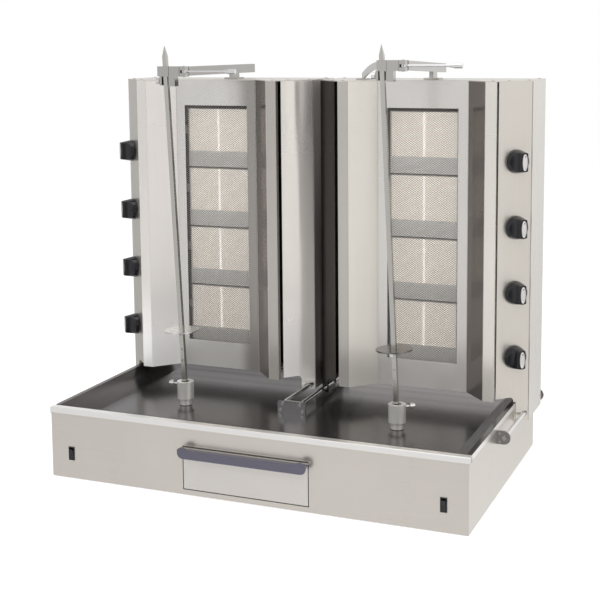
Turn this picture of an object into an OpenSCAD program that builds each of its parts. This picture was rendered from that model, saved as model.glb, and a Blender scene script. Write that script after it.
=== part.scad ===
// Twin gas doner grill: low base box with a drip tray and a fat drawer, two sliding
// burner towers of four ceramic burners each, and one driven skewer before each tower.
// X is right, Y is back, Z is up. Millimetres. Z = 0 is the surface it stands on.
// The modules measure Y from the cabinet's front; at() then centres the part on Y.

/* [Base] */
// Base width
base_w = 980; // [880:1:1080]
// Base depth
base_d = 610; // [540:1:680]
// Top of the folded rim
rim_z = 164; // [140:1:190]
// Cabinet sheet
sheet = 1.5; // [1:0.1:3]
// Height of the folded front rim
rim_h = 15; // [10:0.5:22]
// Depth of the folded front rim
rim_d = 18; // [12:0.5:26]

/* [Tray] */
// Top of the tray floor
floor_z = 129; // [115:0.5:145]
// Half width of the tray floor
floor_x = 432; // [400:1:460]
// Where the floor turns up at the back
floor_back = 458; // [430:1:500]

/* [Drawer] */
// Drawer width
drawer_w = 294; // [240:1:330]
// Drawer box length
drawer_l = 330; // [250:1:400]
// Middle of the drawer across the base
drawer_x = -4; // [-20:1:20]

/* [Towers] */
// Tower centre from the middle of the base
tower_x = 264.5; // [250:0.5:285]
// Top of the towers
tower_z = 896; // [850:1:940]
// Front face of the burner frame
face_y = 416; // [405:1:430]
// Half width of the burner opening
open_x = 85; // [80:1:90]
// Burner spacing
burner_p = 148.5; // [140:0.5:156]
// Centre of the lowest burner
burner_z = 324.5; // [310:0.5:335]
// Knob spacing
knob_p = 148.5; // [140:0.5:156]
// Centre of the lowest knob
knob_z = 272; // [260:1:290]

/* [Skewers] */
// Skewer axis in front of the towers
skewer_y = 230; // [215:1:245]
// Lean of the skewer from upright
lean = 2.5; // [0:0.1:4]
// Skewer square
bar = 10; // [8:0.5:16]
// Tip height along the skewer
tip_l = 830; // [780:1:850]
// Disc diameter
disc_d = 82; // [70:1:120]

/* [Hidden] */
tx = tower_x;
top_t = 2;
wall_z = tower_z - top_t;
seat_z = 150;
pan_a = 46;
px0 = 196;
py0 = 365;
pan_w = 85;
out_x = 189;
out_w = 89;
knob_t = 48;
side_z = 136;
side_x = 507;
low_z = 173;
wing_x = 161.6;
wing_y = 359;
open_z = 239;
open_h = 593;
rod_z = 151;
rod_r = 5;
head_zr = 933;
head_zl = 920;
y_mid = 294;

// Which node to draw

steel = [0.80, 0.80, 0.79];
bright = [0.88, 0.88, 0.88];
dark = [0.16, 0.15, 0.15];
black = [0.05, 0.05, 0.05];

// ---- helpers ----

// Moves the part so that the middle of its whole depth is at Y = 0
module at() {
  translate([0, -y_mid, 0]) children();
}

// One straight run of sheet in plan
module run(a, b, t) {
  l = norm(b - a);
  translate(a)
    rotate(atan2(b[1] - a[1], b[0] - a[0]))
      translate([0, -t / 2]) square([l, t]);
}

// A folded sheet in plan through the points p
module fold(p, t) {
  for (i = [0:len(p) - 2]) run(p[i], p[i + 1], t);
  for (i = [1:len(p) - 2]) translate(p[i]) circle(d = t, $fn = 8);
}

// Draws a tower piece for the right tower, or mirrored for the left one
module tower(side) {
  translate([side * tx, 0, 0])
    if (side > 0) children();
    else mirror([1, 0, 0]) children();
}

// Puts X along an angled side panel that starts at x, and Z along its outward normal
module on_panel(x) {
  translate([x, py0, 0]) rotate([0, 0, pan_a]) rotate([90, 0, 0]) children();
}

// Follows a leaning skewer: Z runs up the bar from the socket
module on_skewer(side) {
  translate([side * tx, skewer_y, seat_z]) rotate([0, -lean, 0]) children();
}

// ---- base ----

module base_cabinet() color(steel) {
  w = base_w;
  difference() {
    translate([-w / 2, 0, 2]) cube([w, base_d, rim_z - 3.5]);
    translate([-w / 2 + sheet, sheet, 1]) cube([w - 2 * sheet, base_d - 2 * sheet, rim_z]);
    translate([drawer_x - drawer_w / 2 - 2, -1, 13]) cube([drawer_w + 4, 5, 99]);
    for (s = [-1, 1]) translate([s * 438 - 6.2, -1, 45.3]) cube([12.4, 5, 28.4]);
    for (s = [-1, 1]) translate([s * 300, base_d - 3, 40])
      for (i = [0:5]) translate([i * 14 - 35, 0, 0]) cube([5, 5, 60]);
  }
  front_rim();
}

module front_rim() {
  w = base_w;
  translate([-w / 2 - 1.5, 0, 0]) rotate([90, 0, 90]) linear_extrude(w + 3)
    difference() {
      union() {
        translate([-1.5, rim_z - rim_h]) square([rim_d + 1.5, rim_h - 2]);
        translate([0.5, rim_z - 2]) square([rim_d - 2.5, 2]);
        translate([0.5, rim_z - 2]) circle(r = 2, $fn = 24);
        translate([rim_d - 2, rim_z - 2]) circle(r = 2, $fn = 24);
      }
      translate([0, rim_z - rim_h - 1]) square([rim_d - 1.5, rim_h - 0.5]);
    }
}

module bottom_plate() color(steel)
  difference() {
    translate([-base_w / 2 + 1.5, 1.5, 4]) cube([base_w - 3, base_d - 3, 1.5]);
    for (x = [-1, 1], y = [120, 490])
      for (i = [0:4]) translate([x * 330 - 40, y - 24 + i * 12, 3]) cube([80, 4, 4]);
  }

module feet() color(black)
  for (x = [-430, 430], y = [60, 550])
    translate([x, y, 0]) cylinder(r = 18, h = 4, $fn = 32);

// Pan section across the base, seen from the front
module pan_x(up) {
  rotate([90, 0, 0]) translate([0, 0, -base_d]) linear_extrude(base_d)
    polygon([[-487, rim_z + up], [-floor_x, floor_z - 1.6], [floor_x, floor_z - 1.6],
      [487, rim_z + up], [487, rim_z + up + 1], [-487, rim_z + up + 1]]);
}

// Pan section along the base, seen from the side
module pan_y(up) {
  translate([-base_w / 2, 0, 0]) rotate([90, 0, 90]) linear_extrude(base_w)
    polygon([[20, rim_z + up + 1], [20, rim_z - 2], [38, floor_z - 1.6],
      [floor_back, floor_z - 1.6], [520, floor_z + 1], [572, floor_z + 7],
      [604, rim_z + up], [604, rim_z + up + 1]]);
}

module drip_tray() color(dark) {
  difference() {
    union() {
      difference() {
        intersection() {
          pan_x(0);
          pan_y(0);
          translate([-490, 0, 0]) cube([980, 610, rim_z]);
        }
        translate([0, 0, 1.6]) intersection() {
          pan_x(4);
          pan_y(4);
        }
      }
      translate([0, 62, floor_z - 12]) cylinder(r = 16, h = 11, $fn = 32);
    }
    translate([0, 62, floor_z - 14]) cylinder(r = 14, h = 20, $fn = 32);
    for (s = [-1, 1]) translate([s * tx, skewer_y, floor_z - 6]) cylinder(r = 9, h = 12, $fn = 32);
  }
  for (s = [-1, 1]) translate([s * 488 - 2, 21, rim_z - 1.5]) cube([4, base_d - 21, 1.5]);
  translate([-488, 603, rim_z - 1.5]) cube([976, 7, 1.5]);
}

module drawer_runners() color(steel)
  for (s = [-1, 1]) translate([drawer_x, 4, 0]) scale([s, 1, 1]) {
    translate([drawer_w / 2 + 2, 0, 5.5]) cube([1.5, 360, 50]);
    translate([drawer_w / 2 - 11, 0, 17]) cube([14, 360, 1.5]);
  }

module gear_motors() color([0.35, 0.36, 0.38])
  for (s = [-1, 1]) translate([s * tx, skewer_y, 0]) {
    translate([-38, -30, 34]) cube([76, 92, 44]);
    translate([-24, -24, 78]) cube([48, 48, 14]);
    translate([0, 98, 56]) rotate([90, 0, 0]) cylinder(r = 20, h = 36, $fn = 32);
    for (x = [-46, 38]) translate([x, -26, 5.5]) cube([8, 80, 60]);
  }

module switch_housings() color(black)
  for (s = [-1, 1]) translate([s * 438, 0, 59.5]) difference() {
    union() {
      translate([-7.2, -1.8, -15.5]) cube([14.4, 1.8, 31]);
      translate([-6.2, -1, -14.2]) cube([12.4, 24, 28.4]);
    }
    translate([-5.2, -3, -13.4]) cube([10.4, 22, 26.8]);
  }

module rocker(s) color(black)
  translate([s * 438, 3, 59.5]) rotate([8, 0, 0]) rotate([90, 0, 90]) {
    translate([0, 0, -4.7]) linear_extrude(9.4)
      polygon([[-7, 11.8], [-5.2, 0], [-7, -11.8], [3, -8], [5, 0], [3, 8]]);
    translate([0, 0, -5.1]) cylinder(r = 1.6, h = 10.2, $fn = 24);
  }

module rocker_left() rocker(-1);
module rocker_right() rocker(1);

module drawer_box() color(steel)
  translate([drawer_x, 2, 19]) difference() {
    translate([-drawer_w / 2 + 1, 0, 0]) cube([drawer_w - 2, drawer_l, 76]);
    translate([-drawer_w / 2 + 2.2, 1.2, 1.2]) cube([drawer_w - 4.4, drawer_l - 2.4, 80]);
  }

module drawer_front() color(bright)
  translate([drawer_x, 0, 0]) {
    translate([-drawer_w / 2, 0, 15]) cube([drawer_w, 2, 95]);
    translate([-151, -21, 108.5]) cube([302, 20.7, 1.5]);
    translate([-147, -1, 108.5]) cube([294, 2, 1.5]);
    translate([0, -20.5, 110]) mirror([0, 0, 1]) bracket_plate(302, 20, 13, 1.5);
  }

module bracket_plate(w, h, r, t = 4) {
  rotate([90, 0, 0]) linear_extrude(t) difference() {
    union() {
      translate([-w / 2, 0]) square([w, h - r]);
      translate([-w / 2 + r, 0]) square([w - 2 * r, h]);
      for (s = [-1, 1]) translate([s * (w / 2 - r), h - r]) circle(r = r, $fn = 32);
    }
  }
}

module rod_brackets() color(bright) {
  difference() {
    translate([0, 256, floor_z]) bracket_plate(70, 29, 7);
    for (s = [-1, 1]) translate([s * 21.5, 300, rod_z]) rotate([90, 0, 0]) cylinder(r = 3, h = 60, $fn = 24);
  }
  for (s = [-1, 1]) translate([s * 21.5, 560, floor_z + 9.5]) difference() {
    bracket_plate(18, 21, 5);
    translate([0, 9, 12.5]) rotate([90, 0, 0]) cylinder(r = 3, h = 20, $fn = 24);
  }
  for (s = [-1, 1], y = [230, 580]) translate([s * 490, y, side_z - 15]) scale([s, 1, 1]) difference() {
    union() {
      cube([15, 5, 30]);
      translate([15, 5, 15]) rotate([90, 0, 0]) cylinder(r = 15, h = 5, $fn = 40);
    }
    translate([17, 9, 15]) rotate([90, 0, 0]) cylinder(r = 3, h = 20, $fn = 24);
  }
}

module guide_rods() color(bright) {
  for (s = [-1, 1]) translate([s * 21.5, 556, rod_z]) rotate([90, 0, 0])
    cylinder(r = rod_r, h = 300, $fn = 32);
  for (s = [-1, 1]) translate([s * side_x, 580, side_z]) rotate([90, 0, 0])
    cylinder(r = rod_r, h = 345, $fn = 32);
}

module bracket_screws() color(bright) {
  for (s = [-1, 1]) translate([s * 21.5, 252, rod_z]) rotate([90, 0, 0])
    cylinder(r = 4.5, h = 2.5, $fn = 24);
  for (s = [-1, 1]) translate([s * 27.5, 252, floor_z + 6]) rotate([90, 0, 0])
    cylinder(r = 3.8, h = 2, $fn = 24);
  for (s = [-1, 1]) translate([s * side_x, 230, side_z]) rotate([90, 0, 0])
    cylinder(r = 5, h = 2.5, $fn = 24);
  for (s = [-1, 1], z = [-9.5, 9.5]) translate([s * 497, 230, side_z + z]) rotate([90, 0, 0])
    cylinder(r = 2.8, h = 2, $fn = 24);
}

// ---- drives and skewers ----

module boss(s) color(bright)
  translate([s * tx, skewer_y, 0]) difference() {
    union() {
      translate([0, 0, 92.5]) cylinder(r = 6, h = 40, $fn = 32);
      translate([0, 0, floor_z + 1]) cylinder(r = 15, h = 16, $fn = 48);
      translate([0, 0, 145]) cylinder(r = 20, h = 41, $fn = 48);
    }
    translate([0, 0, seat_z]) cylinder(r = 10.5, h = 40, $fn = 32);
    rotate([0, 0, s > 0 ? 40 : 180]) translate([8, 0, 178]) rotate([0, 90, 0]) cylinder(r = 3.05, h = 20, $fn = 24);
  }

module boss_left() boss(-1);
module boss_right() boss(1);

module boss_screw(s) color(bright)
  translate([s * tx, skewer_y, 178]) rotate([0, 0, s > 0 ? 40 : 180]) rotate([0, 90, 0]) {
    translate([0, 0, 12]) cylinder(r = 3, h = 18, $fn = 24);
    translate([0, 0, 30]) cylinder(r = 7, h = 9, $fn = 24);
    translate([0, 0, 39]) cylinder(r = 5, h = 3, $fn = 24);
  }

module boss_screw_left() boss_screw(-1);
module boss_screw_right() boss_screw(1);

module skewer(s) color(bright)
  on_skewer(s) difference() {
    union() {
      translate([-bar / 2, -bar / 2, 2]) cube([bar, bar, tip_l - 26]);
      translate([0, 0, tip_l - 24]) rotate([0, 0, 45]) cylinder(r1 = bar * 0.7071, r2 = 0.4, h = 24, $fn = 4);
    }
    for (z = [88, 114]) translate([0, 10, z]) rotate([90, 0, 0]) cylinder(r = 2.2, h = 20, $fn = 16);
    translate([0, 10, 151]) rotate([90, 0, 0]) cylinder(r = 2, h = 20, $fn = 16);
  }

module skewer_left() skewer(-1);
module skewer_right() skewer(1);

module disc(s) color(bright)
  on_skewer(s) translate([0, 0, 158]) difference() {
    union() {
      cylinder(r = disc_d / 2, h = 3, $fn = 64);
      translate([0, 0, -3.5]) cylinder(r = 12, h = 3.5, $fn = 32);
    }
    translate([-bar / 2 - 0.1, -bar / 2 - 0.1, -5]) cube([bar + 0.2, bar + 0.2, 12]);
  }

module disc_left() disc(-1);
module disc_right() disc(1);

module disc_pin(s) color(bright)
  on_skewer(s) translate([0, 16, 151]) rotate([90, 0, 0]) {
    cylinder(r = 2, h = 34, $fn = 16);
    translate([0, 0, 34]) cylinder(r = 4.5, h = 3, $fn = 24);
  }

module disc_pin_left() disc_pin(-1);
module disc_pin_right() disc_pin(1);

// ---- towers, drawn for the right one ----

// Angled side panel with its leg, as a flat sheet: low is the leg's bottom, and the rod
// passes at the distance u along the panel and the height z
module side_panel(x, w, low, u, z, r, holes) {
  leg = holes ? 54.6 : 48;
  on_panel(x) translate([0, 0, -0.75]) linear_extrude(1.5) difference() {
    union() {
      translate([1, 178]) square([w - 2.4, wall_z - 178]);
      translate([48, 166]) square([w - 49.4, 24]);
      translate([leg, low]) square([w - 1.4 - leg, 167 - low]);
      translate([38, 168]) square([12, 12]);
    }
    translate([38, 168]) circle(r = 10, $fn = 32);
    translate([u, z]) square([2 * r - 6, 12.4], center = true);
    for (e = [-1, 1]) translate([u + e * (r - 3), z]) circle(r = 6.2, $fn = 24);
    if (holes) for (i = [0:3]) translate([knob_t, knob_z + i * knob_p]) circle(r = 4.5, $fn = 24);
  }
}

module casing() color(steel) {
  x = 254.3;
  o = 251.1;
  difference() {
    union() {
      translate([0, 0, 178]) linear_extrude(wall_z - 178)
        fold([[-x, 427], [-x, 565.3], [o, 565.3], [o, 430]], sheet);
      translate([o - 0.75, 430, 119]) cube([1.5, 135.3, 61]);
      translate([-x - 0.75, 427, 141]) cube([1.5, 138.3, 40]);
      translate([-x, 448, 178]) cube([x + o, 117, 1.5]);
    }
    translate([189, 580, 205]) rotate([90, 0, 0]) cylinder(r = 11, h = 30, $fn = 24);
    for (i = [0:9], c = [-1, 1]) translate([c * 110 - 60, 560, 300 + i * 50]) cube([120, 10, 8]);
  }
  mirror([1, 0, 0]) side_panel(px0, pan_w, 141, 67.6, rod_z, 10.5, false);
}

module casing_left() tower(-1) casing();
module casing_right() tower(1) casing();

module knob_panel() color(bright) side_panel(out_x, out_w, 119, 77, side_z, 6, true);

module knob_panel_left() tower(-1) knob_panel();
module knob_panel_right() tower(1) knob_panel();

module wing() {
  translate([0, 0, low_z]) linear_extrude(wall_z - low_z)
    fold([[94, face_y + 2.1], [108.4, face_y + 2.1], [wing_x, wing_y], [186.4, wing_y],
      [186.4, wing_y + 12]], 1.2);
}

module wings() color(bright) {
  wing();
  mirror([1, 0, 0]) wing();
}

module wings_left() tower(-1) wings();
module wings_right() tower(1) wings();

module burner_frame() color(bright)
  difference() {
    translate([-107, face_y, low_z]) cube([214, 1.5, wall_z - low_z]);
    translate([-open_x, face_y - 1, open_z]) cube([2 * open_x, 4, open_h]);
  }

module burner_frame_left() tower(-1) burner_frame();
module burner_frame_right() tower(1) burner_frame();

module burner() {
  difference() {
    translate([-82, 0, -91]) cube([164, 46, 144.5]);
    translate([-78.6, -1, -52]) cube([157.2, 15, 104]);
    translate([-74, 10, -48]) cube([148, 30, 96]);
  }
  translate([82, 24, 0]) rotate([0, 90, 0]) cylinder(r = 11, h = 70, $fn = 32);
}

module burners() color([0.30, 0.29, 0.28])
  for (i = [0:3]) translate([0, face_y + 13, burner_z + i * burner_p]) burner();

module burners_left() tower(-1) burners();
module burners_right() tower(1) burners();

module plaques() color([0.86, 0.80, 0.72])
  for (i = [0:3], c = [-1, 1]) translate([c * 39.4 - 38.6, face_y + 15, burner_z + i * burner_p - 51.5])
    cube([77.2, 12, 103]);

module plaques_left() tower(-1) plaques();
module plaques_right() tower(1) plaques();

module mesh() color([0.62, 0.61, 0.58]) {
  y0 = face_y + 1.6;
  z0 = open_z - 5;
  for (i = [0:18]) translate([-90, y0 + 1, z0 + i * 33.4]) cube([180, 1, 2]);
  for (i = [0:6]) translate([-90 + i * 29.7, y0, z0]) cube([1.8, 1.2, open_h + 10]);
}

module mesh_left() tower(-1) mesh();
module mesh_right() tower(1) mesh();

module manifold() color([0.72, 0.66, 0.45]) {
  translate([189, 432, 200]) cylinder(r = 8, h = 560, $fn = 24);
  translate([189, 432, 205]) rotate([-90, 0, 0]) cylinder(r = 8, h = 143, $fn = 24);
  translate([189, 562, 205]) rotate([-90, 0, 0]) cylinder(r = 10, h = 14, $fn = 6);
  for (i = [0:3]) on_panel(out_x) translate([knob_t, knob_z + i * knob_p, 0]) {
    translate([0, 0, -42]) cylinder(r = 9, h = 40, $fn = 24);
    translate([0, 0, -6]) cylinder(r = 3.9, h = 14, $fn = 24);
  }
  for (i = [0:3]) translate([189, 432, burner_z + i * burner_p]) rotate([-90, 0, 0])
    cylinder(r = 5, h = 30, $fn = 24);
}

module manifold_left() tower(-1) manifold();
module manifold_right() tower(1) manifold();

module knob(i) color(black)
  on_panel(out_x) translate([knob_t, knob_z + i * knob_p, 3]) difference() {
    union() {
      cylinder(r = 26.5, h = 3, $fn = 48);
      translate([0, 0, 3]) cylinder(r1 = 27, r2 = 21.5, h = 28, $fn = 48);
      translate([0, 0, 31]) intersection() {
        cylinder(r = 20.5, h = 1.5, $fn = 48);
        translate([-8, -22, 0]) cube([16, 44, 2]);
      }
    }
    translate([0, 0, -1]) cylinder(r = 4, h = 8, $fn = 24);
    for (s = [-1, 1]) translate([s * 30.5, 33, 31]) rotate([90, 0, 0]) cylinder(r = 21.5, h = 66, $fn = 48);
  }

module knob_left_1() tower(-1) knob(3);
module knob_left_2() tower(-1) knob(2);
module knob_left_3() tower(-1) knob(1);
module knob_left_4() tower(-1) knob(0);
module knob_right_1() tower(1) knob(3);
module knob_right_2() tower(1) knob(2);
module knob_right_3() tower(1) knob(1);
module knob_right_4() tower(1) knob(0);

module cover() color(steel) {
  translate([0, 0, wall_z]) linear_extrude(top_t) difference() {
    polygon([[-255, 426], [-196, 364], [-187, wing_y - 0.6], [-wing_x, wing_y - 0.6],
      [-107.6, face_y], [107.6, face_y], [wing_x, wing_y - 0.6], [187, wing_y - 0.6],
      [189.6, 364], [251.8, 429], [251.8, 566], [-255, 566]]);
    for (i = [0:6]) translate([-150 + i * 44, 520]) square([30, 5]);
  }
  for (s = [-1, 1]) {
    translate([s * 176, 366, wall_z + top_t]) cylinder(r = 3.5, h = 1.5, $fn = 16);
    translate([s * 208, 386, wall_z + top_t]) cylinder(r = 3.5, h = 1.5, $fn = 16);
    translate([s * 240, 440, wall_z + top_t]) cylinder(r = 3.5, h = 1.5, $fn = 16);
    translate([s * 240, 550, wall_z + top_t]) cylinder(r = 3.5, h = 1.5, $fn = 16);
  }
}

module cover_left() tower(-1) cover();
module cover_right() tower(1) cover();

// ---- top arms ----

// Foot, bar and, on the right, the bowed brace; x is the head's middle
module arm(x, hz, turn, dip, brace) color(bright) {
  translate([x + 45, 247, 0]) rotate([0, 0, -turn]) {
    translate([0, 0, hz]) rotate([-dip, 0, 0]) {
      for (e = [-5, 2]) translate([e, 0, -10]) cube([3, 305, 21]);
      translate([-2, 196, -9.5]) cube([4, 32, 20]);
      translate([-2, 296, -8]) cube([4, 8, 17]);
    }
    translate([-5, 196, tower_z + 1]) cube([10, 32, hz - 11 - tower_z]);
    translate([-18, 194, tower_z + 0.1]) cube([36, 34, 4]);
  }
  translate([x + 36, 241, hz - 10]) cube([18, 7, 21]);
  if (brace) {
    translate([x - 6, 243.4, 0]) rotate([0, 0, 120]) rotate([90, 0, 0]) translate([0, 0, -2])
      linear_extrude(4) intersection() {
        translate([0, hz + 9 - 900]) difference() {
          circle(r = 900, $fn = 240);
          circle(r = 884, $fn = 240);
        }
        translate([0, tower_z + 0.1]) square([236, 60]);
      }
    translate([x - 135, 432, tower_z + 0.1]) cube([34, 30, 3]);
  }
}

module arm_left() arm(-297, head_zl, 5.5, 0, false);
module arm_right() arm(232, head_zr, 0, 2.4, true);

// Blocks round the skewer, the collar and the hanging jaw
module clamp_head(x, hz, reach) color(bright)
  translate([x, skewer_y, hz]) difference() {
    union() {
      translate([-11 - reach, -11, -11]) cube([22 + reach, 22, 23]);
      translate([11, -10, -11]) cube([27, 21, 23]);
      translate([38, -9, -12]) cube([15, 20, 24]);
      translate([10, -9, -34]) cube([16, 18, 24]);
      translate([-14, -9, -32]) cube([6, 18, 22]);
      translate([-14, 6, -32]) cube([40, 3, 20]);
    }
    translate([0, 0, -40]) rotate([0, -lean, 0]) cylinder(r = 8.2, h = 60, $fn = 32);
    translate([-30, 0, -22]) rotate([0, 90, 0]) cylinder(r = 3.05, h = 30, $fn = 24);
    translate([45.5, 0, -20]) cylinder(r = 3.05, h = 40, $fn = 24);
    translate([40, -12, -3.5]) cube([20, 20, 7]);
  }

module clamp_head_left() clamp_head(-297, head_zl, 7);
module clamp_head_right() clamp_head(232, head_zr, 0);

module clamp_screw(x, hz) color(bright)
  translate([x, skewer_y, hz - 22]) rotate([0, -90, 0]) {
    translate([0, 0, 8.6]) cylinder(r = 3, h = 13, $fn = 24);
    translate([0, 0, 17]) cylinder(r = 7.5, h = 8, $fn = 24);
  }

module clamp_screw_left() clamp_screw(-297, head_zl);
module clamp_screw_right() clamp_screw(232, head_zr);

module lever(x, hz) color(bright)
  translate([x + 45.5, skewer_y, hz]) {
    translate([0, 0, -13]) cylinder(r = 3, h = 26, $fn = 24);
    translate([0, 0, -3]) cylinder(r = 5.2, h = 6, $fn = 24);
    translate([0, -4, -3]) cube([8, 8, 6]);
    translate([7, 0, 0]) rotate([0, 90, 0]) cylinder(r = 2.6, h = 100, $fn = 24);
    translate([104, 0, 0]) rotate([0, 90, 0]) cylinder(r = 4, h = 8, $fn = 24);
    translate([112, 0, 0]) rotate([0, 90, 0]) cylinder(r = 5.8, h = 19, $fn = 24);
  }

module lever_left() lever(-297, head_zl);
module lever_right() lever(232, head_zr);

at() base_cabinet();
at() bottom_plate();
at() feet();
at() drip_tray();
at() drawer_runners();
at() gear_motors();
at() switch_housings();
at() rocker_left();
at() rocker_right();
at() drawer_box();
at() drawer_front();
at() rod_brackets();
at() guide_rods();
at() bracket_screws();
at() boss_left();
at() boss_right();
at() boss_screw_left();
at() boss_screw_right();
at() skewer_left();
at() skewer_right();
at() disc_left();
at() disc_right();
at() disc_pin_left();
at() disc_pin_right();
at() casing_left();
at() casing_right();
at() knob_panel_left();
at() knob_panel_right();
at() wings_left();
at() wings_right();
at() burner_frame_left();
at() burner_frame_right();
at() burners_left();
at() burners_right();
at() plaques_left();
at() plaques_right();
at() mesh_left();
at() mesh_right();
at() manifold_left();
at() manifold_right();
at() knob_left_1();
at() knob_left_2();
at() knob_left_3();
at() knob_left_4();
at() knob_right_1();
at() knob_right_2();
at() knob_right_3();
at() knob_right_4();
at() cover_left();
at() cover_right();
at() arm_left();
at() arm_right();
at() clamp_head_left();
at() clamp_head_right();
at() clamp_screw_left();
at() clamp_screw_right();
at() lever_left();
at() lever_right();
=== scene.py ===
import math

import bpy
import numpy as np
from mathutils import Matrix, Vector


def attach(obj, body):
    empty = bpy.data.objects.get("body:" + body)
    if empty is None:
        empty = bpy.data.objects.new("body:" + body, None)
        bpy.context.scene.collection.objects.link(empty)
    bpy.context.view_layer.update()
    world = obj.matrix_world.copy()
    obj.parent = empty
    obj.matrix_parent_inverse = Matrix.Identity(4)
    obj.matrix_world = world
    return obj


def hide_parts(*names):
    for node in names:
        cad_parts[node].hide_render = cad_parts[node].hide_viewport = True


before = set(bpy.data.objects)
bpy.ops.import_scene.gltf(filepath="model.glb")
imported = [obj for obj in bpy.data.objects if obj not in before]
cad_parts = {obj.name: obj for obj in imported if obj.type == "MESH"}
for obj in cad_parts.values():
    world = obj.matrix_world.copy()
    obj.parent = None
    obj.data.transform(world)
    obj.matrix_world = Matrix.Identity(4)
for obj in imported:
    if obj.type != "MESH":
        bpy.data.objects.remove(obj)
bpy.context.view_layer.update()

# The CAD measures depth from the cabinet's front; the frame is centred on Y.
MM = 0.001
Y_MID = 294.0
TOWER_X = 264.5
SIDES = (("left", -1), ("right", 1))


def at(x, y, z):
    """A point given in the CAD's millimetres, in the frame's metres."""
    return Vector((x * MM, (y - Y_MID) * MM, z * MM))


def across(k, start, end):
    """A stretch of X in millimetres from the centre of tower k, or of the base for k = 0."""
    return "X", (k * TOWER_X + start) * MM, (k * TOWER_X + end) * MM


def back(start, end):
    """A stretch of Y in millimetres from the cabinet's front."""
    return "Y", (start - Y_MID) * MM, (end - Y_MID) * MM


def up(start, end):
    """A stretch of Z in millimetres."""
    return "Z", start * MM, end * MM


# ---- materials ----

class Shader:
    """A Principled material and short ways to add nodes to it."""

    def __init__(self, name, colour, metallic, rough, **sockets):
        self.mat = bpy.data.materials.new(name)
        self.mat.use_nodes = True
        self.tree = self.mat.node_tree
        self.bsdf = self.tree.nodes["Principled BSDF"]
        self.bsdf.inputs["Base Color"].default_value = (*colour, 1)
        self.bsdf.inputs["Metallic"].default_value = metallic
        self.bsdf.inputs["Roughness"].default_value = rough
        for key, value in sockets.items():
            self.bsdf.inputs[key.replace("_", " ")].default_value = value
        self.coord = self.add("ShaderNodeTexCoord").outputs["Object"]
        self.normal = None

    def add(self, kind, **settings):
        """A node; a setting that starts with in_ goes to the input of that name."""
        node = self.tree.nodes.new(kind)
        for key, value in settings.items():
            if key.startswith("in_"):
                node.inputs[key[3:].replace("_", " ")].default_value = value
            else:
                setattr(node, key, value)
        return node

    def link(self, a, b):
        self.tree.links.new(a, b)

    def noise(self, scale, detail=2.0, rough=0.5, shift=(0, 0, 0)):
        """Noise over object coordinates stretched by a scale per axis, per metre."""
        place = self.add("ShaderNodeMapping", in_Scale=scale, in_Location=shift)
        self.link(self.coord, place.inputs["Vector"])
        noise = self.add("ShaderNodeTexNoise", in_Scale=1.0, in_Detail=detail, in_Roughness=rough)
        self.link(place.outputs[0], noise.inputs["Vector"])
        return noise.outputs["Fac"]

    def ranged(self, value, low, high, start=0.3, end=0.7):
        """A value from start to end, mapped to low to high."""
        node = self.add("ShaderNodeMapRange", in_From_Min=start, in_From_Max=end,
                        in_To_Min=low, in_To_Max=high)
        self.link(value, node.inputs["Value"])
        return node.outputs[0]

    def tint(self, value, dark, light, start=0.3, end=0.7):
        """Base colour between two colours by a value."""
        ramp = self.add("ShaderNodeValToRGB")
        ramp.color_ramp.elements[0].position = start
        ramp.color_ramp.elements[0].color = (*dark, 1)
        ramp.color_ramp.elements[1].position = end
        ramp.color_ramp.elements[1].color = (*light, 1)
        self.link(value, ramp.inputs["Fac"])
        self.link(ramp.outputs["Color"], self.bsdf.inputs["Base Color"])

    def rough(self, value, low, high, start=0.3, end=0.7):
        self.link(self.ranged(value, low, high, start, end), self.bsdf.inputs["Roughness"])

    def bump(self, value, height, strength=1.0):
        """Adds height in metres to the surface; calls stack."""
        node = self.add("ShaderNodeBump", in_Strength=strength, in_Distance=height)
        self.link(value, node.inputs["Height"])
        if self.normal is not None:
            self.link(self.normal, node.inputs["Normal"])
        self.normal = node.outputs["Normal"]
        self.link(self.normal, self.bsdf.inputs["Normal"])


# share of the soft cloud in a brushed sheet's variation, height of the brushing in metres,
# and the heights in metres between which a sheet turns from dull to its full metal
CLOUD_SHARE = 0.45
BRUSH_HEIGHT = 0.000006
DULL_HEIGHTS = (0.15, 0.80)


def scaled(colour, factor):
    return tuple(min(1.0, c * factor) for c in colour)


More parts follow.
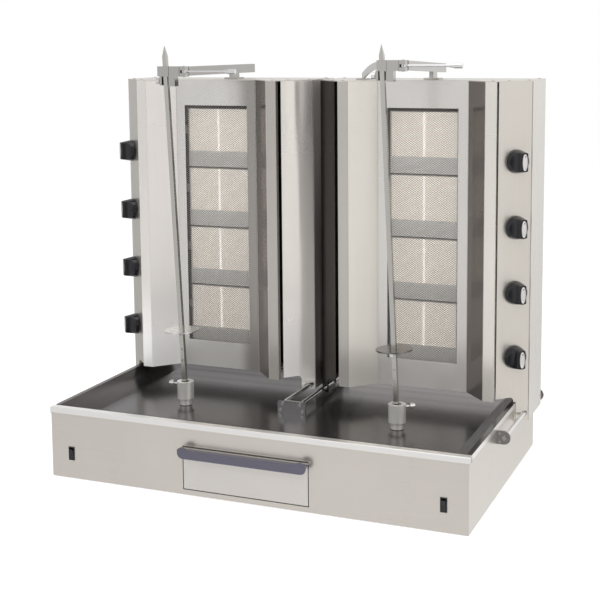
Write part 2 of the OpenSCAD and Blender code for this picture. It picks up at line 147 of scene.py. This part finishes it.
def brushed(name, colour, rough, along, wave=0.0, grain=1.0, metal=1.0, low_metal=None):
    """Brushed sheet. along is the grain's direction: x, z, or h for level lines on every side.

    wave is the height of the sheet's slow waviness in metres, and grain scales the brushing.
    With low_metal, the sheet turns duller towards the tray.
    """
    s = Shader(name, colour, metal, rough)
    long, fine = 4.0, 1500.0
    scale = {"x": (long, fine, fine), "z": (fine, fine, long), "h": (long, long, fine)}[along]
    lines = s.noise(scale, 3.0, 0.6)
    cloud = s.noise((7.0, 7.0, 5.0), 3.0, 0.55, (3.1, 0.4, 1.7))
    part = s.add("ShaderNodeMath", operation="MULTIPLY")
    s.link(cloud, part.inputs[0])
    part.inputs[1].default_value = CLOUD_SHARE
    mix = s.add("ShaderNodeMath", operation="MULTIPLY_ADD")
    s.link(lines, mix.inputs[0])
    mix.inputs[1].default_value = 1 - CLOUD_SHARE
    s.link(part.outputs[0], mix.inputs[2])
    s.tint(mix.outputs[0], scaled(colour, 0.95), scaled(colour, 1.04))
    s.rough(mix.outputs[0], rough * 0.88, rough * 1.15)
    s.bump(lines, BRUSH_HEIGHT * grain)
    if wave:
        wide, broad = 2.0, 26.0
        swell = (wide, wide, broad) if along != "z" else (broad, broad, wide)
        s.bump(s.noise(swell, 1.0, 0.4, (0.3, 1.1, 0.2)), wave)
    if low_metal is not None:
        split = s.add("ShaderNodeSeparateXYZ")
        s.link(s.coord, split.inputs[0])
        share = s.ranged(split.outputs["Z"], low_metal, metal, *DULL_HEIGHTS)
        s.link(share, s.bsdf.inputs["Metallic"])
    return s.mat


def masked(mat, colour, rough, *stretches):
    """Blends a material to another tone where each stretch has run to its end; each use paints
    light or shade this way.
    """
    tree = mat.node_tree
    bsdf = tree.nodes["Principled BSDF"]
    coord = tree.nodes.new("ShaderNodeTexCoord")
    split = tree.nodes.new("ShaderNodeSeparateXYZ")
    tree.links.new(coord.outputs["Object"], split.inputs[0])
    mask = None
    for axis, start, end in stretches:
        node = tree.nodes.new("ShaderNodeMapRange")
        node.interpolation_type = "SMOOTHSTEP"
        node.inputs["From Min"].default_value = start
        node.inputs["From Max"].default_value = end
        tree.links.new(split.outputs[axis], node.inputs["Value"])
        if mask is None:
            mask = node.outputs[0]
            continue
        both = tree.nodes.new("ShaderNodeMath")
        both.operation = "MULTIPLY"
        tree.links.new(mask, both.inputs[0])
        tree.links.new(node.outputs[0], both.inputs[1])
        mask = both.outputs[0]
    for key, value in (("Base Color", (*colour, 1)), ("Roughness", rough)):
        mix = tree.nodes.new("ShaderNodeMix")
        mix.data_type = "RGBA" if key == "Base Color" else "FLOAT"
        a, b, out = (6, 7, 2) if key == "Base Color" else (2, 3, 0)
        source = bsdf.inputs[key].links[0].from_socket
        tree.links.new(source, mix.inputs[a])
        mix.inputs[b].default_value = value
        tree.links.new(mask, mix.inputs["Factor"])
        tree.links.new(mix.outputs[out], bsdf.inputs[key])
    return mat


def satin_chrome(name, colour, rough):
    """Polished metal with faint spots and a very fine unevenness."""
    s = Shader(name, colour, 1.0, rough)
    spots = s.noise((140.0, 140.0, 140.0), 4.0, 0.6)
    s.tint(spots, scaled(colour, 0.93), colour)
    s.rough(spots, rough * 0.8, rough * 1.25)
    s.bump(s.noise((900.0, 900.0, 900.0), 2.0), 0.000008)
    return s.mat


def plastic(name, colour, rough):
    """Moulded plastic or rubber with a fine grain."""
    s = Shader(name, colour, 0.0, rough, Specular_IOR_Level=0.55)
    fine = s.noise((2600.0, 2600.0, 2600.0), 3.0)
    s.tint(s.noise((60.0, 60.0, 60.0), 3.0), scaled(colour, 0.85), scaled(colour, 1.2))
    s.rough(fine, rough * 0.85, rough * 1.2)
    s.bump(fine, 0.00001)
    return s.mat


# Painted light: the tiles and their joints glow a little, for the light that the fine mesh in
# front takes away.
TILE_PAINTED_GLOW = 0.36
JOINT_PAINTED_GLOW = 0.9


def ceramic_tile():
    """Pale drilled tile: fine rows of burner holes over a mottled body, with painted shade in the
    holes and a painted glow.
    """
    cream = (0.97, 0.91, 0.83)
    s = Shader("ceramic_tile", cream, 0.0, 0.85, Specular_IOR_Level=0.25)
    holes = s.add("ShaderNodeTexVoronoi", in_Scale=340.0, in_Randomness=0.0, feature="F1")
    s.link(s.coord, holes.inputs["Vector"])
    hole = s.ranged(holes.outputs["Distance"], 0.0, 1.0, 0.25, 0.42)
    mottle = s.noise((45.0, 45.0, 45.0), 3.0)
    body = s.add("ShaderNodeMath", operation="MULTIPLY")
    s.link(hole, body.inputs[0])
    s.link(s.ranged(mottle, 0.8, 1.0), body.inputs[1])
    # painted shade darkens the burner holes; the mottle is the body's own tone
    s.tint(body.outputs[0], (0.70, 0.64, 0.57), cream, 0.0, 1.0)
    s.bump(hole, 0.0002)
    # painted glow standing in for the light that the mesh takes away
    s.bsdf.inputs["Emission Color"].default_value = (1.0, 0.93, 0.85, 1)
    s.bsdf.inputs["Emission Strength"].default_value = TILE_PAINTED_GLOW
    return s.mat


def joint_cement():
    """Bright smooth cement between two tiles, with a painted glow."""
    s = Shader("joint_cement", (0.97, 0.95, 0.92), 0.0, 0.8, Specular_IOR_Level=0.2)
    s.tint(s.noise((90.0, 90.0, 60.0), 3.0), (0.90, 0.87, 0.83), (1.0, 0.98, 0.95))
    # painted glow standing in for the light that the mesh takes away
    s.bsdf.inputs["Emission Color"].default_value = (1.0, 0.97, 0.93, 1)
    s.bsdf.inputs["Emission Strength"].default_value = JOINT_PAINTED_GLOW
    return s.mat


def dark_metal(name, colour, rough):
    """Enamelled or heat-darkened metal in soft patches."""
    s = Shader(name, colour, 0.85, rough)
    patch = s.noise((30.0, 30.0, 30.0), 4.0, 0.6)
    s.tint(patch, scaled(colour, 0.75), scaled(colour, 1.25))
    s.rough(patch, rough * 0.85, rough * 1.15)
    s.bump(s.noise((500.0, 500.0, 500.0), 3.0), 0.00004)
    return s.mat


# Folds of the sheets in millimetres: from a tower's centre, the roots and the outer folds of
# its reflectors; and the casing's inner wall.
WING_ROOT = (107.0, 110.0)
WING_FOLD = (161.5, 158.5)
INNER_WALL = (251.0, 253.0)


def wing_steel(k, name, colour, low_metal, shade):
    """Reflector sheet; the right-hand reflector faces away from the light and is darkened by
    painted shade.
    """
    sheet = brushed(name, colour, 0.18, "z", wave=0.0004, grain=0.03, metal=0.75,
                    low_metal=low_metal)
    # painted shade over the right-hand reflector, between its root and its outer fold
    return masked(sheet, shade, 0.16, across(k, *WING_ROOT), across(k, *WING_FOLD))


def left_wing_steel():
    mat = wing_steel(-1, "wing_left_steel", (0.75, 0.72, 0.69), 0.3, (0.24, 0.215, 0.20))
    # painted shade on the flange at the left tower's inner edge
    masked(mat, (0.46, 0.435, 0.405), 0.20, across(-1, 161.0, 162.5))
    # painted light: the low outer part of the left-hand reflector is paler
    return masked(mat, (1.0, 0.98, 0.97), 0.30, up(420, 220), across(-1, -95.5, -115.5))


def right_wing_steel():
    mat = wing_steel(1, "wing_right_steel", (0.75, 0.725, 0.67), 0.4, (0.21, 0.19, 0.175))
    # painted shade on the flange at the right tower's inner edge
    return masked(mat, (0.50, 0.475, 0.44), 0.20, across(1, -160.5, -162.0))


def left_casing_steel():
    """Casing whose inner wall stands in the gap between the towers, in painted shade that is
    darkest at the foot, with painted light low on its inner panel.
    """
    mat = brushed("inner_panel_steel", (0.84, 0.80, 0.76), 0.20, "z", wave=0.002, grain=0.04,
                  metal=0.8, low_metal=0.3)
    # painted shade on the inner wall in the gap between the towers
    masked(mat, (0.13, 0.11, 0.098), 0.30, back(422, 434), across(-1, *INNER_WALL))
    # painted light on the upper part of that wall
    masked(mat, (0.70, 0.65, 0.61), 0.30, up(450, 920), across(-1, *INNER_WALL))
    # painted light: the low part of the inner panel is paler
    return masked(mat, (1.0, 0.97, 0.95), 0.34, up(420, 220), back(400, 392))


def right_casing_steel():
    """Casing whose inner side is in the shade of the other tower; that shade is painted into its
    colour.
    """
    mat = brushed("shaded_panel_steel", (0.76, 0.73, 0.68), 0.28, "z", wave=0.0008, grain=0.1,
                  metal=0.85)
    # painted shade on the inner side that faces the other tower
    return masked(mat, (0.04, 0.033, 0.03), 0.22, across(1, -189.5, -196.5), back(564, 561))


def face_steel(name, colour):
    """Burner frame's sheet."""
    return brushed(name, colour, 0.24, "z", wave=0.0006, grain=0.04, metal=0.8, low_metal=0.5)


def cabinet_steel():
    """Level brushing, with a painted highlight that makes the folded rim along the top paler."""
    mat = brushed("cabinet_steel", (0.745, 0.70, 0.645), 0.30, "h", wave=0.0004, grain=0.15,
                  metal=0.9)
    # painted highlight along the folded top rim
    return masked(mat, (0.97, 0.95, 0.93), 0.34, up(150.5, 152.5))


def tray_steel():
    """Half mirror that reads dark, with a painted reflection that makes it paler at the back on
    the right.
    """
    mat = brushed("tray_steel", (0.16, 0.15, 0.15), 0.20, "x", wave=0.0003, grain=0.2, metal=0.9)
    # painted reflection at the back on the right
    return masked(mat, (0.36, 0.335, 0.33), 0.26, back(354, 494), across(0, -120, 100))


def drawer_steel():
    """Drawer front; the lip's face leans down and is darkened by painted shade."""
    mat = brushed("drawer_steel", (0.725, 0.69, 0.655), 0.24, "x", wave=0.0004, grain=0.3,
                  metal=0.8)
    # painted shade on the lip's face
    return masked(mat, (0.155, 0.15, 0.19), 0.16, back(-6, -12))


MATERIALS = {
    "cabinet": cabinet_steel(),
    "panel": brushed("panel_steel", (0.74, 0.705, 0.655), 0.30, "z", 0.0008, 0.4, 0.85),
    "inner": left_casing_steel(),
    "shaded": right_casing_steel(),
    # the left burner frame carries painted shade on its right-hand strip
    "face_left": masked(face_steel("face_left_steel", (0.70, 0.68, 0.655)), (0.36, 0.34, 0.32),
                        0.24, across(-1, 49.5, 90.5)),
    "face_right": face_steel("face_right_steel", (0.72, 0.695, 0.67)),
    "tray": tray_steel(),
    "drawer": drawer_steel(),
    "bright": brushed("bright_steel", (0.52, 0.505, 0.48), 0.14, "z", 0.0, 0.1),
    "boss": brushed("boss_steel", (0.86, 0.84, 0.81), 0.18, "h", 0.0, 0.2, 0.6),
    "bracket": satin_chrome("bracket_chrome", (0.52, 0.515, 0.515), 0.12),
    "spit": brushed("spit_steel", (0.60, 0.585, 0.55), 0.24, "z", 0.0, 1.0),
    # one disc steel in two copies: painted light makes the left disc pale, painted shade makes
    # the right one dark
    "disc_left": satin_chrome("disc_left_steel", (1.0, 0.985, 0.965), 0.30),
    "disc_right": satin_chrome("disc_right_steel", (0.30, 0.285, 0.27), 0.22),
    "chrome": satin_chrome("chrome", (0.84, 0.83, 0.83), 0.10),
    "wing_left": left_wing_steel(),
    "wing_right": right_wing_steel(),
    "black": plastic("black_plastic", (0.008, 0.008, 0.010), 0.12),
    "white": plastic("white_mark", (0.85, 0.85, 0.85), 0.4),
    "rubber": plastic("rubber", (0.02, 0.02, 0.02), 0.7),
    "motor": dark_metal("motor_enamel", (0.20, 0.21, 0.23), 0.5),
    # the burner boxes' near-white colour is pale steel plus painted light for the shade of the
    # mesh in front
    "burner": brushed("burner_steel", (1.0, 0.97, 0.935), 0.42, "h", 0.0003, 0.3, 0.15),
    "shield": dark_metal("shield_steel", (0.02, 0.019, 0.018), 0.6),
    "tile": ceramic_tile(),
    "joint": joint_cement(),
    "mesh": satin_chrome("mesh_steel", (0.42, 0.40, 0.38), 0.40),
    "brass": satin_chrome("brass", (0.62, 0.48, 0.22), 0.3),
}

LOOK = {
    "base_cabinet": "cabinet", "bottom_plate": "cabinet", "feet": "rubber",
    "drip_tray": "tray", "drawer_runners": "panel", "gear_motors": "motor",
    "switch_housings": "black", "rod_brackets": "bracket", "guide_rods": "chrome",
    "bracket_screws": "chrome", "drawer_box": "panel", "drawer_front": "drawer",
    "casing_left": "inner", "casing_right": "shaded",
}
for side, _ in SIDES:
    for stem, look in {
        "rocker": "black", "boss": "boss", "boss_screw": "chrome", "skewer": "spit",
        "disc_pin": "chrome", "knob_panel": "panel", "burners": "burner", "plaques": "tile",
        "mesh": "mesh", "manifold": "brass", "cover": "panel", "arm": "bright",
        "clamp_head": "bright", "clamp_screw": "chrome", "lever": "chrome",
    }.items():
        LOOK[f"{stem}_{side}"] = look
    for number in range(1, 5):
        LOOK[f"knob_{side}_{number}"] = "black"
    LOOK[f"wings_{side}"] = f"wing_{side}"
    LOOK[f"burner_frame_{side}"] = f"face_{side}"
    LOOK[f"disc_{side}"] = f"disc_{side}"

for name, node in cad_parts.items():
    node.data.materials.clear()
    node.data.materials.append(MATERIALS[LOOK[name]])


# ---- mesh helpers ----

SHARP_ANGLE = 50


def make(name, verts, faces, look, smooth=False):
    """Mesh data in metres with one material."""
    data = bpy.data.meshes.new(name)
    data.from_pydata([tuple(v) for v in verts], [], [tuple(f) for f in faces])
    data.polygons.foreach_set("use_smooth", [smooth] * len(data.polygons))
    if smooth:
        data.set_sharp_from_angle(angle=math.radians(SHARP_ANGLE))
    data.materials.append(MATERIALS[look])
    return data


def place(name, data, body, slot, matrix=None):
    """A piece of that mesh that rides on a body."""
    piece = bpy.data.objects.new(name, data)
    bpy.context.scene.collection.objects.link(piece)
    if matrix is not None:
        piece.matrix_world = matrix
    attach(piece, body)
    return piece


def rings(loops, capped=True):
    """Joins rings of the same count of points into a skin, closed at both ends if capped."""
    count = len(loops[0])
    verts = [p for loop in loops for p in loop]
    faces = []
    for level in range(len(loops) - 1):
        base = level * count
        for i in range(count):
            j = (i + 1) % count
            faces.append((base + i, base + j, base + count + j, base + count + i))
    if capped:
        faces.append(tuple(reversed(range(count))))
        last = (len(loops) - 1) * count
        faces.append(tuple(range(last, last + count)))
    return verts, faces


# ---- expanded metal mesh ----

MESH_WIDTH, MESH_HEIGHT = 180.0, 601.0
MESH_Y, MESH_Z = 418.6, 235.0
PITCH_X, PITCH_Z = 7.2, 5.2
STRAND, MESH_THICK = 1.0, 0.8
# how far the strand's back edge is twisted up
TWIST = 0.15


def strand_mesh():
    """Zigzag strands that touch at their bends, as slit and stretched sheet has."""
    rows = int(MESH_HEIGHT / (PITCH_Z / 2))
    cols = int(MESH_WIDTH / (PITCH_X / 2))
    swing = (PITCH_Z / 2 - STRAND * 0.8) / 2
    section = ((-MESH_THICK / 2, -STRAND / 2), (MESH_THICK / 2, -STRAND / 2 + TWIST),
               (MESH_THICK / 2, STRAND / 2 + TWIST), (-MESH_THICK / 2, STRAND / 2))
    k = np.arange(cols + 1)
    verts, faces = [], []
    for row in range(rows):
        x = -MESH_WIDTH / 2 + k * PITCH_X / 2
        z = (row + 0.5) * PITCH_Z / 2 + np.where((k + row) % 2 == 0, swing, -swing)
        corners = np.stack([np.stack([x, np.full_like(x, dy), z + dz], 1)
                            for dy, dz in section], 1)
        verts.append(corners.reshape(-1, 3))
        start = row * (cols + 1) * 4
        a = start + 4 * np.arange(cols)
        for c in range(4):
            d = (c + 1) % 4
            faces.append(np.stack([a + c, a + d, a + 4 + d, a + 4 + c], 1))
        faces.append(np.array([[start, start + 3, start + 2, start + 1]]))
        end = start + cols * 4
        faces.append(np.array([[end, end + 1, end + 2, end + 3]]))
    verts = np.concatenate(verts) * MM
    faces = np.concatenate(faces)
    # filled through arrays, because from_pydata is slow for this many faces
    data = bpy.data.meshes.new("expanded_mesh")
    data.vertices.add(len(verts))
    data.vertices.foreach_set("co", verts.astype(np.float32).ravel())
    data.loops.add(faces.size)
    data.loops.foreach_set("vertex_index", faces.astype(np.int32).ravel())
    data.polygons.add(len(faces))
    data.polygons.foreach_set("loop_start", np.arange(0, faces.size, 4, dtype=np.int32))
    data.update(calc_edges=True)
    data.materials.append(MATERIALS["mesh"])
    return data


MESH_DATA = strand_mesh()
for side, k in SIDES:
    guard = place(f"mesh_guard_{side}", MESH_DATA, f"tower_{side}", "mesh_steel",
                  Matrix.Translation(at(k * TOWER_X, MESH_Y, MESH_Z)))
    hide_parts(f"mesh_{side}")


# ---- knobs ----

# angled panels: where they start from the tower's centre and how far they turn
PANEL_TURN = math.radians(46)
PANEL_X, PANEL_Y = 189.0, 365.0
# knobs: distance along the panel and off it, lowest height and spacing
KNOB_ALONG, KNOB_OFF = 48.0, 3.0
KNOB_Z, KNOB_STEP = 272.0, 148.5
# body from its foot to the edge of its crown
BODY_FOOT, BODY_CROWN = 3.4, 31.0
FOOT_R, CROWN_R = 26.6, 21.6
# round scoops that leave the grip bar, and where they run out
SCOOP_R, SCOOP_X, SCOOP_FOOT = 21.5, 30.2, 9.5
NO_BAR = 99.0


def smooth_min(a, b, k):
    """The smaller of two numbers, blended within k of each other."""
    h = max(k - abs(a - b), 0.0) / k
    return min(a, b) - h * h * k / 4


def knob_levels():
    """Height, radius and half width of the grip bar up the knob."""
    levels = [(0.0, 25.4, NO_BAR), (0.5, 26.4, NO_BAR), (1.6, 26.6, NO_BAR),
              (2.6, 26.3, NO_BAR), (3.0, 26.0, NO_BAR)]
    steps = 22
    for i in range(steps + 1):
        z = BODY_FOOT + (BODY_CROWN - BODY_FOOT) * i / steps
        radius = FOOT_R + (CROWN_R - FOOT_R) * (z - BODY_FOOT) / (BODY_CROWN - BODY_FOOT)
        bar = SCOOP_X - math.sqrt(max(SCOOP_R ** 2 - (BODY_CROWN - z) ** 2, 0.0))
        levels.append((z, radius, bar if z > SCOOP_FOOT else NO_BAR))
    z, radius, bar = levels[-1]
    return levels + [(z + 0.8, radius - 0.35, bar - 0.35), (z + 1.3, radius - 1.1, bar - 1.1)]


def knob_mesh():
    """Round skirt, tapered body and a raised grip bar with scooped sides."""
    count = 96
    loops = []
    for z, radius, bar in knob_levels():
        loop = []
        for i in range(count):
            a = 2 * math.pi * i / count
            r = radius
            if bar < NO_BAR:
                r = smooth_min(radius, bar / max(abs(math.cos(a)), 1e-6), 2.0)
            loop.append((r * math.cos(a) * MM, r * math.sin(a) * MM, z * MM))
        loops.append(loop)
    return make("gas_knob", *rings(loops), "black", smooth=True)


def pad_mesh(name, half_x, half_y, rise, power, look):
    """A thin domed pad with a superellipse outline, flat at the back, in millimetres."""
    count = 48
    loops = []
    for scale, z in ((1.0, -0.5), (1.0, rise * 0.35), (0.94, rise * 0.7), (0.72, rise * 0.93),
                     (0.4, rise)):
        loop = []
        for i in range(count):
            a = 2 * math.pi * i / count
            c, s = math.cos(a), math.sin(a)
            loop.append((math.copysign(abs(c) ** (2 / power), c) * half_x * scale * MM,
                         math.copysign(abs(s) ** (2 / power), s) * half_y * scale * MM, z * MM))
        loops.append(loop)
    return make(name, *rings(loops), look, smooth=True)


def turned(data, turn, offset=(0, 0, 0)):
    """A copy of a mesh, moved in millimetres and then turned."""
    copy = data.copy()
    copy.transform(turn @ Matrix.Translation(Vector(offset) * MM))
    return copy


KNOB_DATA = knob_mesh()
# label, mesh, place on the knob in millimetres, and slot
KNOB_TRIM = (
    ("insert", pad_mesh("knob_insert", 7.2, 18.4, 0.9, 2.2, "chrome"), (0, 0, 32.3), "chrome"),
    ("dot", pad_mesh("knob_dot", 1.5, 1.5, 0.5, 2.0, "black"), (0, 13.0, 33.0), "black_plastic"),
    ("mark", pad_mesh("knob_mark", 1.3, 1.3, 0.5, 2.0, "white"), (-15.0, -20.0, 3.4), "ceramic"))

for side, k in SIDES:
    out = Vector((k * math.sin(PANEL_TURN), -math.cos(PANEL_TURN), 0))
    upward = Vector((0, 0, 1))
    along = upward.cross(out)
    foot = at(k * (TOWER_X + PANEL_X + KNOB_ALONG * math.cos(PANEL_TURN)),
              PANEL_Y + KNOB_ALONG * math.sin(PANEL_TURN), 0)
    turn = Matrix((along, upward, out)).transposed().to_4x4()
    for number in range(1, 5):
        centre = foot + (out * KNOB_OFF + upward * (KNOB_Z + KNOB_STEP * (4 - number))) * MM
        shift = Matrix.Translation(centre)
        body = f"knob_{side}_{number}"
        knob = place(f"gas_knob_{side}_{number}", turned(KNOB_DATA, turn), body,
                     "black_plastic", shift)
        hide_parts(body)
        for label, data, offset, slot in KNOB_TRIM:
            place(f"knob_{label}_{side}_{number}", turned(data, turn, offset), body, slot,
                  shift)


# ---- inside of the towers ----

def folded(name, points, low, high, thick, look):
    """A sheet folded along plan points, between two heights, in millimetres."""
    path = [Vector(p) for p in points]
    left, right = [], []
    for i, p in enumerate(path):
        before = (path[max(i, 1)] - path[max(i, 1) - 1]).normalized()
        after = (path[i + 1] - p).normalized() if i < len(path) - 1 else before
        mean = (before + after).normalized()
        normal = Vector((-mean.y, mean.x)) * thick / 2 / mean.dot(before)
        left.append(p + normal)
        right.append(p - normal)
    outline = left + right[::-1]
    count = len(outline)
    verts, faces = rings([[at(p.x, p.y, z) for p in outline] for z in (low, high)], capped=False)
    for i in range(len(path) - 1):
        j = count - 1 - i
        faces.append((i, j, j - 1, i + 1))
        faces.append((count + i, count + i + 1, count + j - 1, count + j))
    return make(name, verts, faces, look)


SHIELD_LOW, SHIELD_HIGH = 182.0, 890.0
SHIELD_BACK = (150.0, 486.0)
# the end towards the other tower reaches further and hides the rear vents
SHIELD_ENDS = ((190.0, 441.0), (172.0, 448.0))

for side, k in SIDES:
    x = k * TOWER_X
    (left_x, left_y), (right_x, right_y) = SHIELD_ENDS[::k]
    back_x, back_y = SHIELD_BACK
    plan = [(x - left_x, left_y), (x - back_x, back_y), (x + back_x, back_y),
            (x + right_x, right_y)]
    place(f"heat_shield_{side}",
          folded(f"heat_shield_{side}", plan, SHIELD_LOW, SHIELD_HIGH, 1.0, "shield"),
          f"tower_{side}", "burner_steel")

BURNER_Z, BURNER_STEP, TILE_Y = 324.5, 148.5, 431.0
# half widths of the joint's face and web, and its half height
JOINT_FACE, JOINT_WEB, JOINT_HALF = 2.0, 0.7, 51.4
# depths from the tile's face: the joint's own face, its back, and the end of its web
JOINT_PROUD, JOINT_LAP, JOINT_DEEP = -0.9, -0.15, 9.0


def tile_joint_mesh():
    """Cement strips between the two tiles of each burner: a web with a wider face."""
    outline = [(-JOINT_WEB, JOINT_DEEP), (-JOINT_WEB, JOINT_LAP), (-JOINT_FACE, JOINT_LAP),
               (-JOINT_FACE, JOINT_PROUD), (JOINT_FACE, JOINT_PROUD), (JOINT_FACE, JOINT_LAP),
               (JOINT_WEB, JOINT_LAP), (JOINT_WEB, JOINT_DEEP)]
    web, face = (0, 1, 6, 7), (2, 3, 4, 5)
    verts, faces = [], []
    for i in range(4):
        z = BURNER_Z + BURNER_STEP * i
        strip, skin = rings([[(x * MM, y * MM, (z + end * JOINT_HALF) * MM) for x, y in outline]
                             for end in (-1, 1)], capped=False)
        first = len(verts)
        verts += strip
        faces += [tuple(first + corner for corner in quad) for quad in skin]
        for quad in (web, face):
            faces.append(tuple(first + corner for corner in quad[::-1]))
            faces.append(tuple(first + len(outline) + corner for corner in quad))
    return make("tile_joint", verts, faces, "joint")


JOINT_DATA = tile_joint_mesh()
for side, k in SIDES:
    place(f"tile_joint_{side}", JOINT_DATA, f"tower_{side}", "ceramic",
          Matrix.Translation(at(k * TOWER_X, TILE_Y, 0)))


# ---- floor, light and camera ----

def build_floor():
    """Plain pale paper that glows a little and is not mirrored in the sheets."""
    reach = 9.0
    data = bpy.data.meshes.new("floor")
    data.from_pydata([(-reach, -reach, 0), (reach, -reach, 0), (reach, reach, 0),
                      (-reach, reach, 0)], [], [(0, 1, 2, 3)])
    s = Shader("floor_paper", (0.93, 0.93, 0.93), 0.0, 0.9, Specular_IOR_Level=0.1)
    s.tint(s.noise((3.0, 3.0, 3.0), 2.0), (0.92, 0.92, 0.92), (0.95, 0.95, 0.95))
    s.bsdf.inputs["Emission Color"].default_value = (1, 1, 1, 1)
    s.bsdf.inputs["Emission Strength"].default_value = 0.35
    data.materials.append(s.mat)
    floor = bpy.data.objects.new("floor", data)
    bpy.context.scene.collection.objects.link(floor)
    floor.visible_glossy = False


build_floor()

# The studio that the sheets mirror: brightness and warmth by compass degrees from the front
# (-Y) towards the right (+X), times a level by degrees above the horizon.
COMPASS = (
    (-180, 0.86, 0.0), (-140, 0.78, 0.0), (-110, 0.45, 0.0), (-75, 0.40, 0.0),
    (-48, 0.62, 0.0), (-32, 0.76, 0.0), (-18, 0.86, 0.0), (4, 0.55, 0.0),
    (25, 0.20, 0.0), (45, 0.55, 0.01), (64, 1.00, 0.01), (80, 0.92, 0.02),
    (108, 0.30, 0.01), (138, 0.80, 0.0), (162, 0.98, 0.0), (180, 0.86, 0.0))
LEVELS = ((-30, 1.0), (-21, 0.97), (-14, 0.80), (-6, 0.90), (2, 1.0), (20, 0.95), (45, 1.05),
          (60, 1.15))


def ramp(tree, stops, value):
    """A smooth colour ramp over stops of position and colour, fed by a value."""
    node = tree.nodes.new("ShaderNodeValToRGB")
    bands = node.color_ramp
    bands.interpolation = "EASE"
    for element, (position, colour) in zip(bands.elements, (stops[0], stops[-1])):
        element.position, element.color = position, (*colour, 1)
    for position, colour in stops[1:-1]:
        bands.elements.new(position).color = (*colour, 1)
    tree.links.new(value, node.inputs["Fac"])
    return node.outputs["Color"]


def build_world():
    """Soft studio light from all round, seen as plain white by the camera."""
    world = bpy.data.worlds.new("studio")
    bpy.context.scene.world = world
    world.use_nodes = True
    tree = world.node_tree
    tree.nodes.clear()

    def add(kind, **settings):
        node = tree.nodes.new(kind)
        for key, value in settings.items():
            setattr(node, key, value)
        return node

    def link(a, b):
        tree.links.new(a, b)

    def spread(value, low, high):
        """A value from low to high, as 0 to 1."""
        node = add("ShaderNodeMapRange")
        node.inputs["From Min"].default_value = low
        node.inputs["From Max"].default_value = high
        link(value, node.inputs["Value"])
        return node.outputs[0]

    coord = add("ShaderNodeTexCoord")
    split = add("ShaderNodeSeparateXYZ")
    link(coord.outputs["Generated"], split.inputs[0])
    forward = add("ShaderNodeMath", operation="MULTIPLY")
    forward.inputs[1].default_value = -1.0
    link(split.outputs["Y"], forward.inputs[0])
    azimuth = add("ShaderNodeMath", operation="ARCTAN2")
    link(split.outputs["X"], azimuth.inputs[0])
    link(forward.outputs[0], azimuth.inputs[1])
    height = add("ShaderNodeMath", operation="ARCSINE")
    link(split.outputs["Z"], height.inputs[0])

    compass = ramp(tree, [(degrees / 360 + 0.5, (v * (1 + warm), v, v * (1 - warm)))
                          for degrees, v, warm in COMPASS],
                   spread(azimuth.outputs[0], -math.pi, math.pi))
    lowest, highest = LEVELS[0][0], LEVELS[-1][0]
    level = ramp(tree, [((degrees - lowest) / (highest - lowest), (v, v, v))
                        for degrees, v in LEVELS],
                 spread(height.outputs[0], math.radians(lowest), math.radians(highest)))
    product = add("ShaderNodeMix", data_type="RGBA", blend_type="MULTIPLY")
    product.inputs["Factor"].default_value = 1.0
    link(compass, product.inputs[6])
    link(level, product.inputs[7])
    studio = add("ShaderNodeBackground")
    link(product.outputs[2], studio.inputs["Color"])
    paper = add("ShaderNodeBackground")
    paper.inputs["Color"].default_value = (1, 1, 1, 1)
    path = add("ShaderNodeLightPath")
    choice = add("ShaderNodeMixShader")
    link(path.outputs["Is Camera Ray"], choice.inputs[0])
    link(studio.outputs[0], choice.inputs[1])
    link(paper.outputs[0], choice.inputs[2])
    out = add("ShaderNodeOutputWorld")
    link(choice.outputs[0], out.inputs["Surface"])


build_world()


def area(name, position, target, size, power, glossy=False):
    """A soft panel of light in watts, aimed at a point."""
    data = bpy.data.lights.new(name, "AREA")
    data.shape = "RECTANGLE"
    data.size, data.size_y = size
    data.energy = power
    light = bpy.data.objects.new(name, data)
    bpy.context.scene.collection.objects.link(light)
    light.location = position
    aim = Vector(target) - Vector(position)
    light.rotation_euler = aim.to_track_quat("-Z", "Y").to_euler()
    light.visible_glossy = glossy


area("key", (1.6, -2.6, 2.4), (0, 0, 0.5), (1.8, 1.8), 55)
area("fill", (-2.4, -2.0, 1.8), (0, 0, 0.5), (2.0, 2.0), 22)
area("top", (0.3, -0.4, 3.0), (0, 0, 0.2), (2.5, 2.0), 20, glossy=True)

bpy.context.scene.view_settings.view_transform = "Standard"
bpy.context.scene.view_settings.look = "None"

# the photograph's viewing angle: place, then turn, tilt and roll in degrees
CAMERA_PLACE = (1.0938, -2.6101, 0.9888)
CAMERA_TURN, CAMERA_TILT, CAMERA_ROLL = 22.57, 82.652, -0.527

camera_data = bpy.data.cameras.new("camera")
camera_data.sensor_width = 36.0
camera_data.lens = 74.27
camera_data.shift_y = -0.1667
camera = bpy.data.objects.new("camera", camera_data)
bpy.context.scene.collection.objects.link(camera)
camera.matrix_world = (
    Matrix.Translation(CAMERA_PLACE)
    @ Matrix.Rotation(math.radians(CAMERA_TURN), 4, "Z")
    @ Matrix.Rotation(math.radians(CAMERA_TILT), 4, "X")
    @ Matrix.Rotation(math.radians(CAMERA_ROLL), 4, "Z"))
bpy.context.scene.camera = camera
